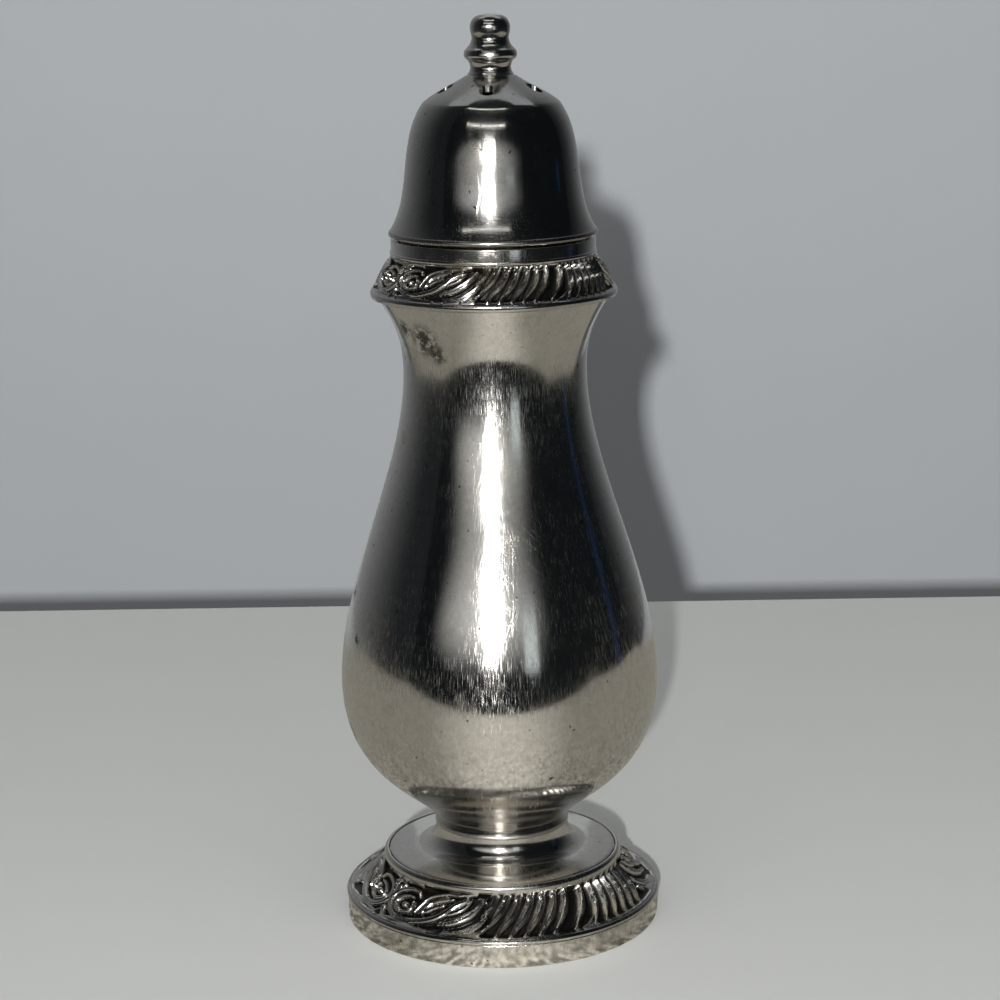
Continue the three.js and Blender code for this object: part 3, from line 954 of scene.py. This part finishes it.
@dataclass
class Foot:
    """The standing ring, its cast border and the dished disc with its neck."""

    finishes: Finishes
    pattern: BorderPattern
    ring_radius: float = 22.75
    ring_wall: float = 1.1
    ring_rounding: float = 0.22
    lip_overhang: float = 0.2
    lip_profile: Profile = ((-0.18, 0), (-0.04, 0.12), (0, 0.32), (-0.08, 0.52), (-0.35, 0.72), (-0.46, 0.62),
                            (-0.58, 0.66), (-0.72, 0.84), (-1.05, 0.95))
    moulding_inset: float = 0.3
    moulding_profile: Profile = ((0.4275, -1.216), (0.44, -1.05), (0.46, -0.8), (0.38, -0.4), (0.2, -0.1),
                                 (0, 0), (-0.2, -0.05), (-0.3, -0.2))
    border_wall: float = 1.1
    border_swell: float = -0.2
    ledge_width: float = 1.4
    disc_radius: float = 16.45
    disc_edge: float = 0.9
    disc_rise: float = 0.55
    gap: float = 0.12
    # Bevel of the disc's upper edge, across and down
    disc_bevel: Point = (0.15, 0.12)
    stem_radius: float = 9.6
    shell_wall: float = 1.0
    # Handles of the dish, across and up from its edge and from the knee
    dish_handles: Handles = ((-1.4, 0.22), (1.3, -0.12))
    # Places of the knee and of the sweep's handles from the stem, as shares of the neck's height
    knee_share: float = 0.65
    sweep_shares: Point = (0.27, 0.55)
    sweep_rise: float = 1.2
    bead_width: float = 0.13
    bead_height: float = 0.6
    bead_root: float = 0.1

    def build(self) -> list[Piece]:
        """Makes every piece of the foot."""
        return [self._ring(), self._border(), self._shell(), self._solder()]

    def _ring(self) -> Piece:
        """Makes the plain upright band.

        Returns:
            The finished piece.
        """
        low, high = node_span("foot_ring")
        inner = self.ring_radius - self.ring_wall
        mesh = turned([(inner, low), (self.ring_radius, low), (self.ring_radius, high), (inner, high)])
        soften(mesh, self.ring_rounding, 3)
        return place(mesh, "foot_band", self.finishes.band, "vessel", ("foot_ring",))

    def _border(self) -> Piece:
        """Makes the cast ring between the band and the disc.

        Returns:
            The finished piece.
        """
        low, high = node_span("foot_border")
        inner = self.disc_radius + self.gap
        ledge = high - self.disc_edge
        seat = self.disc_radius - self.ledge_width
        foot = self.ring_radius - self.ring_wall - self.border_wall
        lip = shifted(self.lip_profile, self.ring_radius + self.lip_overhang, low)
        moulding = shifted(self.moulding_profile, inner + self.moulding_inset, high)
        rim = [*moulding, (inner, ledge), (seat, ledge), (seat, ledge - self.border_wall), (foot, low)]
        border = CastBorder("foot_cast_border", "foot_border", lip, rim, self.border_swell)
        return border.build(self.pattern, self.finishes.cast)

    def _shell(self) -> Piece:
        """Makes the dished disc and the neck that carries the body.

        Returns:
            The finished piece.
        """
        low, high = node_span("foot_shell")
        level = low + self.disc_edge
        edge, stem, neck, rise = self.disc_radius, self.stem_radius, high - level, self.disc_rise
        knee = (stem + self.knee_share * neck, level + rise)
        bevel, drop = self.disc_bevel
        ends = ((edge, level), knee)
        handles = [(e[0] + h[0], e[1] + h[1]) for e, h in zip(ends, self.dish_handles)]
        dish = cubic((edge - bevel, level), *handles, knee, 10)
        first, last = self.sweep_shares
        handles = [(stem + first * neck, level + self.sweep_rise * rise), (stem, high - last * neck)]
        sweep = cubic(knee, *handles, (stem, high), 20)
        outer = [*dish, *sweep[1:]]
        seat = edge - self.ledge_width
        inner = [p for p in inner_face(outer, self.shell_wall) if p[0] < seat]
        mesh = turned([(edge, low), (edge, level - drop), *outer, *reversed(inner), (seat, low)])
        return place(mesh, "foot_dish", self.finishes.turned, "vessel", ("foot_shell",))

    def _solder(self) -> Piece:
        """Makes the thin seam of solder between the foot's neck and the body.

        Returns:
            The finished piece.
        """
        level, half = node_span("foot_shell")[1], self.bead_height / 2
        inner = self.stem_radius - self.bead_root
        bead = [(self.stem_radius + self.bead_width * math.sin(a), level - (half - 0.02) * math.cos(a))
                for a in np.linspace(0.2, 2.94, 9)]
        mesh = turned([(inner, level - half), *bead, (inner, level + half)], 160)
        return place(mesh, "stem_solder", self.finishes.solder, "vessel")


# Body


@dataclass
class Body:
    """The hollow baluster body and the cast border round its mouth."""

    finishes: Finishes
    pattern: BorderPattern
    stem_radius: float = 9.6
    belly_radius: float = 22.82
    belly_height: float = 21.6
    neck_radius: float = 12.92
    neck_height: float = 66.6
    mouth_radius: float = 16.2
    belly_curve: Handles = ((0, 0.227), (1, 0.28))
    waist_curve: Handles = ((0, 0.33), (1, 0.684))
    mouth_curve: Handles = ((0, 0.53), (0.47, 0.71))
    wall: float = 1.0
    floor: float = 1.3
    # Bevel between the wall's inner face and the floor, across and up
    floor_bevel: Point = (0.5, 0.4)
    lip_overhang: float = 1.1
    lip_profile: Profile = ((-0.3, 0), (-0.1, 0.15), (0, 0.45), (0, 0.75), (-0.1, 1.0), (-0.4, 1.12),
                            (-0.4, 1.5))
    collar_swell: float = 0.3
    seat_radius: float = 14.3
    seat_profile: Profile = ((0.16, -0.2), (0.1, -0.06), (0, 0))
    bore_radius: float = 13.0

    def build(self) -> list[Piece]:
        """Makes every piece of the body."""
        return [self._shell(), self._collar()]

    def _outline(self) -> Section:
        """Draws the body's outer face.

        Returns:
            Its points from the stem to the mouth.
        """
        low, high = node_span("body_shell")
        belly = (self.belly_radius, low + self.belly_height)
        neck = (self.neck_radius, low + self.neck_height)
        lower = bow((self.stem_radius, low), belly, self.belly_curve, 34)
        upper = bow(belly, neck, self.waist_curve, 44)
        return [*lower, *upper[1:], *bow(neck, (self.mouth_radius, high), self.mouth_curve, 20)[1:]]

    def _shell(self) -> Piece:
        """Makes the body's shell with its closed floor.

        Returns:
            The finished piece.
        """
        outer = self._outline()
        low = outer[0][1]
        floor = low + self.floor
        across, up = self.floor_bevel
        inside = [p for p in inner_face(outer, self.wall) if p[1] > floor + up]
        mesh = turned([(0, low), *outer, *reversed(inside), (inside[0][0] - across, floor), (0, floor)])
        return place(mesh, "body_vase", self.finishes.body, "vessel", ("body_shell",),
                     weigh_normals=False)

    def _collar(self) -> Piece:
        """Makes the cast ring round the mouth.

        Returns:
            The finished piece.
        """
        low, high = node_span("collar_border")
        lip = shifted(self.lip_profile, self.mouth_radius + self.lip_overhang, low)
        bore = self.bore_radius
        rim = [*shifted(self.seat_profile, self.seat_radius, high), (bore, high), (bore, low)]
        border = CastBorder("collar_cast_border", "collar_border", lip, rim, self.collar_swell, rows=34,
                            segments=900)
        return border.build(self.pattern, self.finishes.cast)


# Neck ring


@dataclass
class NeckRing:
    """The turned ring with the cap's seat and the threaded spigot."""

    finishes: Finishes
    seat_radius: float = 14.3
    seat_profile: Profile = ((0, -0.2), (-0.05, -0.07), (-0.18, 0))
    bead_profile: Profile = ((0, 0), (0.105, 0.1), (0.15, 0.3), (0.105, 0.5), (0, 0.58))
    skirt_radius: float = 12.7
    band_height: float = 2.25
    spigot_height: float = 6.3
    spigot_wall: float = 1.0
    # The spigot's upper edge, across and up from its top at the outer face and at the bore
    spigot_profile: Profile = ((0, -0.25), (-0.2, 0))
    bore_profile: Profile = ((0.15, 0), (0, -0.15))
    thread_start: float = 1.2
    thread_pitch: float = 1.5
    thread_turns: float = 2.75
    thread_height: float = 0.2
    thread_width: float = 0.8
    thread_root: float = 0.05
    thread_segments: int = 96

    def build(self, spigot_radius: float) -> list[Piece]:
        """Makes the ring and its thread.

        Args:
            spigot_radius: outer radius of the spigot under its thread.

        Returns:
            The finished pieces.
        """
        low, high = node_span("neck_ring")
        seat = high - self.spigot_height
        foot = seat - self.band_height
        bore = spigot_radius - self.spigot_wall
        below = [(bore, low), (self.skirt_radius, low), (self.skirt_radius, foot)]
        bead = shifted(self.bead_profile, self.seat_radius, foot)
        edge = shifted(self.seat_profile, self.seat_radius, seat)
        spigot = [(spigot_radius, seat), *shifted(self.spigot_profile, spigot_radius, high),
                  *shifted(self.bore_profile, bore, high)]
        section = [*below, *bead, *edge, *spigot]
        finish = self.finishes.turned
        ridge = self._ridge(spigot_radius, seat + self.thread_start)
        return [place(turned(section), "neck_seat", finish, "vessel", ("neck_ring",)),
                place(ridge, "neck_thread", finish, "vessel")]

    def _ridge(self, radius: float, start: float) -> Mesh:
        """Winds the thread's ridge round the spigot.

        Args:
            radius: outer radius of the spigot.
            start: level of the ridge's lower end.

        Returns:
            A closed ridge in metres.
        """
        mesh = bmesh.new()
        root, top, half = radius - self.thread_root, radius + self.thread_height, self.thread_width / 2
        corners = [(root, start - half), (top, start - half / 4), (top, start + half / 4),
                   (root, start + half)]
        face = mesh.faces.new([mesh.verts.new((r * MM, 0, z * MM)) for r, z in corners])
        steps = int(self.thread_segments * self.thread_turns)
        rise = (0, 0, self.thread_pitch * self.thread_turns * MM / steps)
        bmesh.ops.spin(mesh, geom=[face, *face.edges, *face.verts], angle=FULL_TURN * self.thread_turns,
                       steps=steps, dvec=rise, use_merge=False, use_duplicate=False, **UPRIGHT)
        bmesh.ops.recalc_face_normals(mesh, faces=mesh.faces)
        return mesh


# Cap


@dataclass
class Cap:
    """The bell-shaped cap with its rim ring, pour holes, threaded sleeve and finial."""

    finishes: Finishes
    rim_radius: float = 14.6
    rim_width: float = 1.2
    rim_height: float = 0.85
    rim_step: float = 0.25
    wire_profile: Profile = ((-0.38, 0), (-0.16, 0.07), (-0.03, 0.24), (0, 0.42), (-0.05, 0.6), (-0.15, 0.76))
    wall: float = 0.8
    shoulder_radius: float = 9.5
    shoulder_height: float = 18.25
    root_radius: float = 3.2
    side_curve: Handles = ((0.67, 0.284), (0.25, 0.704))
    crown_curve: Handles = ((0.2, 0.33), (0.61, 0.6))
    tenon_hole: float = 1.8
    tenon_radius: float = 1.5
    tenon_rounding: float = 0.3
    # Radii of the knob at shares of its height
    knob_profile: Profile = ((3.2, 0.0), (3.16, 0.012), (2.95, 0.05), (2.83, 0.1), (2.84, 0.14), (3.0, 0.205),
                             (3.2, 0.235), (3.52, 0.27), (3.66, 0.305), (3.67, 0.335), (3.55, 0.395),
                             (3.2, 0.44), (2.83, 0.5), (2.62, 0.56), (2.56, 0.6), (2.62, 0.65), (2.72, 0.7),
                             (2.77, 0.76), (2.75, 0.81), (2.58, 0.875), (2.2, 0.935), (1.6, 0.975),
                             (0.8, 0.995), (0.0, 1.0))
    holes: int = 5
    hole_radius: float = 1.15
    hole_circle: float = 6.4
    hole_turn: float = -4.0
    drill_length: float = 8.0
    drill_depth: float = 2.0
    # Degrees by which an edge of the pierced bell turns before it is shaded as sharp
    hole_edge_angle: float = 40.0
    sleeve_wall: float = 0.9
    liner_wall: float = 0.4
    # How far the liner stays inside the sleeve at its ends and at its outer face
    liner_inset: Point = (0.1, 0.02)
    thread_clearance: float = 0.3
    grooves: int = 7
    groove_depth: float = 0.25
    groove_width: float = 0.56
    groove_margin: float = 0.6

    def build(self) -> list[Piece]:
        """Makes every piece of the cap."""
        return [self._rim(), self._dome(), *self._sleeve(), self._finial()]

    @property
    def sleeve_radius(self) -> float:
        """Outer radius of the sleeve, read from its solid."""
        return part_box("cap_sleeve")[1].x / MM

    @property
    def spigot_radius(self) -> float:
        """Outer radius of the spigot that the sleeve runs on."""
        return self.sleeve_radius - self.sleeve_wall - self.thread_clearance

    def _outline(self) -> Section:
        """Draws the dome's outer face.

        Returns:
            Its points from the lower edge to the finial.
        """
        base, crown = node_span("cap_dome")
        shoulder = (self.shoulder_radius, base - self.rim_height + self.shoulder_height)
        side = bow((self.rim_radius - self.rim_step, base), shoulder, self.side_curve, 44)
        return [*side, *bow(shoulder, (self.root_radius, crown), self.crown_curve, 26)[1:]]

    def _rim(self) -> Piece:
        """Makes the moulded wire round the lower edge.

        Returns:
            The finished piece.
        """
        low, high = node_span("cap_rim_ring")
        inner, outer = self.rim_radius - self.rim_width, self.rim_radius
        wire = [*shifted(self.wire_profile, outer, low), (outer - self.rim_step, high)]
        return place(turned([(inner, low), *wire, (inner, high)]), "cap_wire", self.finishes.wire, "cap",
                     ("cap_rim_ring",), weigh_normals=False)

    def _dome(self) -> Piece:
        """Makes the spun shell with its pour holes.

        Returns:
            The finished piece.
        """
        outer = self._outline()
        crown = outer[-1][1]
        ceiling = crown - self.wall
        inside = [p for p in inner_face(outer, self.wall) if p[1] < ceiling - 0.02]
        mesh = turned([*outer, (self.tenon_hole, crown), (self.tenon_hole, ceiling), *reversed(inside)], 288)
        dome = place(mesh, "cap_bell", self.finishes.cap, "cap", ("cap_dome",),
                     weigh_normals=False)
        self._drill(dome, crown - self.drill_depth)
        return dome

    def _drill(self, dome: Piece, level: float) -> None:
        """Cuts the pour holes and keeps the smooth shading.

        Args:
            dome: the piece to cut.
            level: level of the middle of the cutters.
        """
        drills = bmesh.new()
        for i in range(self.holes):
            angle = math.radians(self.hole_turn + i * 360 / self.holes)
            spot = (self.hole_circle * math.sin(angle), -self.hole_circle * math.cos(angle), level)
            bmesh.ops.create_cone(drills, cap_ends=True, segments=40, radius1=self.hole_radius * MM,
                                  radius2=self.hole_radius * MM, depth=self.drill_length * MM,
                                  matrix=Matrix.Translation(metres(spot)))
        data = bpy.data.meshes.new("drills")
        drills.to_mesh(data)
        drills.free()
        cutter = bpy.data.objects.new("drills", data)
        bpy.context.scene.collection.objects.link(cutter)
        modifier = dome.modifiers.new("pour_holes", "BOOLEAN")
        modifier.operation, modifier.solver, modifier.object = "DIFFERENCE", "EXACT", cutter
        cut = bpy.data.meshes.new_from_object(dome.evaluated_get(bpy.context.evaluated_depsgraph_get()))
        dome.modifiers.clear()
        whole, dome.data = dome.data, cut
        cut.set_sharp_from_angle(angle=math.radians(self.hole_edge_angle))
        bpy.data.meshes.remove(whole)
        bpy.data.objects.remove(cutter)
        cut.name = dome.name

    def _sleeve(self) -> list[Piece]:
        """Makes the plain sleeve, and the grooved liner that turns with the cap.

        Returns:
            The two finished pieces.
        """
        low, high = node_span("cap_sleeve")
        outer = self.sleeve_radius
        bore = outer - self.sleeve_wall
        joint = bore + self.liner_wall
        tube = turned([(joint, low), (outer, low), (outer, high), (joint, high)], 160)
        soften(tube, 0.1, 2)
        ends, side = self.liner_inset
        first, last, back = low + ends, high - ends, joint - side
        liner = [(bore, first), (back, first), (back, last), (bore, last)]
        half = self.groove_width / 2
        for level in np.linspace(high - self.groove_margin, low + self.groove_margin, self.grooves):
            liner += [(bore, level + half), (bore + self.groove_depth, level), (bore, level - half)]
        finish = self.finishes.turned
        return [place(tube, "cap_tube", finish, "sleeve", ("cap_sleeve",)),
                place(turned(liner, 160), "sleeve_thread", finish, "cap")]

    def _finial(self) -> Piece:
        """Makes the turned knob with its tenon.

        Returns:
            The finished piece.
        """
        low, top = node_span("finial")
        crown = node_span("cap_dome")[1]
        rise = top - crown
        knob = self._smoothed([(radius, crown + share * rise) for radius, share in self.knob_profile])
        side, rounding = self.tenon_radius, self.tenon_rounding
        mesh = turned([(0, low), (side - rounding, low), (side, low + rounding), (side, crown), *knob], 128)
        return place(mesh, "cap_knob", self.finishes.turned, "cap", ("finial",),
                     weigh_normals=False)

    def _smoothed(self, points: Section) -> Section:
        """Runs a smooth curve through the points of a turning.

        Args:
            points: points from the crown to the tip.

        Returns:
            The points of the curve.
        """
        curve: Section = []
        last = len(points) - 1
        for i, (start, end) in enumerate(zip(points, points[1:])):
            before, after = points[max(i - 1, 0)], points[min(i + 2, last)]
            lead = tuple(s + (e - b) / 6 for s, e, b in zip(start, end, before))
            trail = tuple(e - (a - s) / 6 for e, a, s in zip(end, after, start))
            curve += cubic(start, lead, trail, end, 5)[:-1]
        return [*((max(radius, 0.0), height) for radius, height in curve), (0.0, points[-1][1])]


# Stage

DARK: Colour = (0.015, 0.017, 0.019)
DARKER: Colour = (0.006, 0.008, 0.009)
PALE: Colour = (0.25, 0.26, 0.27)
STRIP: Colour = (2.4, 2.4, 2.3)


@dataclass(frozen=True)
class Card:
    """A curved card round the shaker, which only the polished metal shows.

    Attributes:
        paint: its paint, which also names it.
        sides: its two sides, in degrees from the front towards +X.
        edges: its lower and upper edge, in degrees above the horizon.
        nearness: its radius as a share of the largest card's.
    """

    paint: CardPaint
    sides: Point
    edges: Point
    nearness: float = 1.0

    ROWS = 8
    COLUMNS = 16

    def sheet(self, radius: float) -> Mesh:
        """Makes the card as a part of a sphere round the origin.

        Args:
            radius: radius of the largest card in millimetres.

        Returns:
            The card in metres.
        """
        mesh = bmesh.new()
        reach, side = self.nearness * radius * MM, math.radians(self.sides[0])
        rim = []
        for level in np.radians(np.linspace(*self.edges, self.ROWS + 1)):
            out = reach * math.cos(level)
            rim.append(mesh.verts.new((out * math.sin(side), -out * math.cos(side), reach * math.sin(level))))
        edges = [mesh.edges.new(pair) for pair in zip(rim, rim[1:])]
        angle = math.radians(self.sides[1] - self.sides[0])
        whole = rim + edges
        bmesh.ops.spin(mesh, geom=whole, angle=angle, steps=self.COLUMNS, use_duplicate=False, **UPRIGHT)
        return mesh


# Cards that dim the metal's sides and crown, and small ones that give it lights and a blue streak
CARDS = (
    Card(CardPaint("left_card", DARK, PALE, 78, 176), (188, 296), (-2, 62)),
    Card(CardPaint("right_card", DARK, PALE, 108, 180), (108, 172), (-2, 62)),
    Card(CardPaint("blue_card", (0.01, 0.022, 0.055)), (92, 96), (-3, 20), 0.99),
    Card(CardPaint("light_card", (0.62, 0.7, 0.72)), (18, 28), (8, 22), 0.98),
    Card(CardPaint("lower_strip", STRIP), (-40, 22), (49, 51), 0.98),
    Card(CardPaint("upper_strip", STRIP), (-62, 38), (69, 71), 0.98),
    Card(CardPaint("front_crown_card", DARK), (-110, 110), (62, 90), 0.99),
    Card(CardPaint("back_crown_card", DARK), (110, 250), (76, 90), 0.99),
)

# What the lower half of the metal shows, bright only in front
TABLE_PAINT = CardPaint("table_card", (0.62, 0.6, 0.54), (0.26, 0.25, 0.22), 5, 54, unevenness=0.5)


@dataclass(frozen=True)
class Lamp:
    """A rectangular soft lamp.

    Attributes:
        name: its name.
        spot: its place in millimetres.
        aim: the point that it faces, in millimetres.
        size: its width and height in millimetres.
        level: share of a plain level of light that it gives a face at the aimed point.
        reflected: whether the metal shows it.
        shading: whether it lights the table and the wall.
    """

    name: str
    spot: Spot
    aim: Spot
    size: Point
    level: float
    reflected: bool = False
    shading: bool = True

    def hang(self) -> None:
        """Adds the lamp to the scene."""
        away = metres(self.aim) - metres(self.spot)
        data = bpy.data.lights.new(self.name, "AREA")
        data.shape = "RECTANGLE"
        data.size, data.size_y = (side * MM for side in self.size)
        data.energy = self.level * math.pi**2 * away.length_squared
        lamp = bpy.data.objects.new(self.name, data)
        lamp.rotation_euler = away.to_track_quat("-Z", "Y").to_euler()
        lamp.location = metres(self.spot)
        lamp.visible_camera = False
        lamp.visible_glossy, lamp.visible_diffuse = self.reflected, self.shading
        bpy.context.scene.collection.objects.link(lamp)


# The light that the metal shows, the smaller one that throws the shadow, and a wide soft box above
LAMPS = (
    Lamp("key", (-66, -700, 255), (0, 0, 62), (17, 36), 1.2, reflected=True, shading=False),
    Lamp("shadow_key", (-43, -700, 225), (0, 0, 62), (10, 14), 1.2),
    Lamp("soft_box", (0, -350, 1500), (0, 0, 0), (1300, 1300), 0.25),
)


@dataclass
class Stage:
    """Pale table and backdrop, cards that the metal shows, lamps and a camera at the photograph's angle."""

    camera_distance: float = 350.1
    camera_height: float = 143.1
    pitch: float = -13.08
    yaw: float = 0.07
    roll: float = -0.845
    focal_pixels: float = 2520.0
    frame_pixels: float = 1000.0
    sensor_width: float = 36.0
    # Nearest and furthest distance that the camera sees, in metres
    clip: Point = (0.01, 10.0)
    table_front: float = 170.0
    table_back: float = 168.0
    table_width: float = 840.0
    table_tone: Colour = (0.66, 0.67, 0.65)
    wall_size: Point = (1500.0, 1100.0)
    wall_middle: Spot = (0.0, 430.0, 250.0)
    wall_tone: Colour = (0.6, 0.63, 0.65)
    room_radius: float = 2600.0
    room_segments: int = 48
    # Direction of the dark part of the surroundings, and where it starts, as a share of the radius
    room_side: Spot = (0.258, -0.869, -0.421)
    room_start: float = -0.333
    card_radius: float = 405.0
    card_height: float = 0.1
    glow_middle: Spot = (-135.0, -600.0, 228.0)
    glow_reach: Point = (680.0, 185.0)
    glow_tone: Colour = (0.7, 0.71, 0.7)
    glow_segments: int = 64
    ambient: float = 0.08
    room_tone: Colour = (0.36, 0.38, 0.40)

    def build(self) -> None:
        """Makes the whole stage."""
        upright = Matrix.Rotation(QUARTER_TURN, 4, "X")
        self._add(self._table_sheet(0), StagePaint("table_top", self.table_tone))
        wall = self._rectangle(self.wall_size, Matrix.Translation(metres(self.wall_middle)) @ upright)
        self._add(wall, StagePaint("backdrop", self.wall_tone))
        self._room()
        for card in CARDS:
            self._add(card.sheet(self.card_radius), card.paint)
        self._glow(upright)
        self._add(self._table_sheet(self.card_height), TABLE_PAINT)
        for lamp in LAMPS:
            lamp.hang()
        self._world()
        self._camera()
        bpy.context.scene.view_settings.view_transform = "Standard"

    def _add(self, mesh: Mesh, paint: StagePaint | CardPaint) -> None:
        """Puts a sheet or a card on the stage; only the metal sees a card.

        Args:
            mesh: its mesh in metres, freed here.
            paint: its paint, which also names it.
        """
        data = bpy.data.meshes.new(paint.name)
        mesh.to_mesh(data)
        mesh.free()
        data.materials.append(paint.material())
        sheet = bpy.data.objects.new(paint.name, data)
        if isinstance(paint, CardPaint):
            sheet.visible_camera = sheet.visible_diffuse = sheet.visible_shadow = False
        bpy.context.scene.collection.objects.link(sheet)

    def _rectangle(self, size: Point, spot: Matrix) -> Mesh:
        """Makes a rectangle.

        Args:
            size: its width and depth in millimetres.
            spot: what puts it in its place.

        Returns:
            The rectangle in metres.
        """
        mesh = bmesh.new()
        stretch = Matrix.Diagonal((size[0] * MM, size[1] * MM, 1, 1))
        bmesh.ops.create_grid(mesh, x_segments=1, y_segments=1, size=0.5, matrix=spot @ stretch)
        return mesh

    def _table_sheet(self, height: float) -> Mesh:
        """Makes a sheet as large as the table top.

        Args:
            height: its height above the table in millimetres.

        Returns:
            The sheet in metres.
        """
        middle = metres((0, (self.table_back - self.table_front) / 2, height))
        size = (self.table_width, self.table_front + self.table_back)
        return self._rectangle(size, Matrix.Translation(middle))

    def _room(self) -> None:
        """Adds the dark card round the front, which makes the upper half of the metal dark."""
        card = bmesh.new()
        radius = self.room_radius * MM
        steps = self.room_segments
        bmesh.ops.create_uvsphere(card, u_segments=steps, v_segments=steps // 2, radius=radius)
        side = Vector(self.room_side)
        whole = [*card.verts, *card.edges, *card.faces]
        bmesh.ops.bisect_plane(card, geom=whole, plane_co=side * (self.room_start * radius), plane_no=side,
                               clear_inner=True)
        self._add(card, CardPaint("dark_card", DARKER))

    def _glow(self, upright: Matrix) -> None:
        """Adds the soft glow round the key lamp.

        Args:
            upright: what stands a level shape on its edge.
        """
        card = bmesh.new()
        width, height = self.glow_reach
        stretch = Matrix.Diagonal((width, 1, height, 1))
        spot = Matrix.Translation(metres(self.glow_middle)) @ stretch @ upright
        bmesh.ops.create_circle(card, cap_ends=True, segments=self.glow_segments, radius=MM, matrix=spot)
        paint = GlowPaint("glow_card", self.glow_tone, DARKER, middle=self.glow_middle, reach=self.glow_reach)
        self._add(card, paint)

    def _world(self) -> None:
        """Adds weak even light, with a pale room where the camera and the metal look at it."""
        world = bpy.data.worlds.new("pale_room")
        world.use_nodes = True
        nodes = Nodes(world.node_tree)
        path = nodes.node("LightPath", {}).outputs
        seen = path["Is Camera Ray"]
        for name in ("Is Glossy Ray", "Is Transmission Ray"):
            seen = nodes.maths("MAXIMUM", seen, path[name])
        colour = nodes.blend(seen, (self.ambient,) * 3, self.room_tone)
        nodes.fill(nodes.tree.nodes["Background"], {"Color": colour})
        bpy.context.scene.world = world

    def _camera(self) -> None:
        """Adds the camera, with the photograph's place, direction and lean."""
        pitch, yaw, roll = (math.radians(a) for a in (self.pitch, self.yaw, self.roll))
        forward = Vector((math.sin(yaw) * math.cos(pitch), math.cos(yaw) * math.cos(pitch), math.sin(pitch)))
        level = Vector((math.cos(yaw), -math.sin(yaw), 0))
        upright = level.cross(forward)
        right = math.cos(roll) * level + math.sin(roll) * upright
        up = math.cos(roll) * upright - math.sin(roll) * level
        data = bpy.data.cameras.new("camera")
        data.sensor_width = self.sensor_width
        data.lens = self.focal_pixels / self.frame_pixels * self.sensor_width
        data.clip_start, data.clip_end = self.clip
        camera = bpy.data.objects.new("camera", data)
        turn = Matrix((right, up, -forward)).transposed().to_4x4()
        spot = metres((0, -self.camera_distance, self.camera_height))
        camera.matrix_world = Matrix.Translation(spot) @ turn
        bpy.context.scene.collection.objects.link(camera)
        bpy.context.scene.camera = camera


def main() -> None:
    """Builds the shaker's sub-assemblies in order and reports each piece, then builds the stage."""
    logging.basicConfig(level=logging.INFO, format="%(name)s: %(message)s")
    finishes = Finishes.made()
    pattern = BorderPattern()
    foot = Foot(finishes, pattern)
    body = Body(finishes, pattern)
    neck = NeckRing(finishes)
    cap = Cap(finishes)
    pieces = [*foot.build(), *body.build(), *neck.build(cap.spigot_radius), *cap.build()]
    for piece in pieces:
        log.info("%s: %d faces", piece.name, len(piece.data.polygons))
    log.info("%d pieces in all", len(pieces))
    Stage().build()


if __name__ == "__main__":
    main()
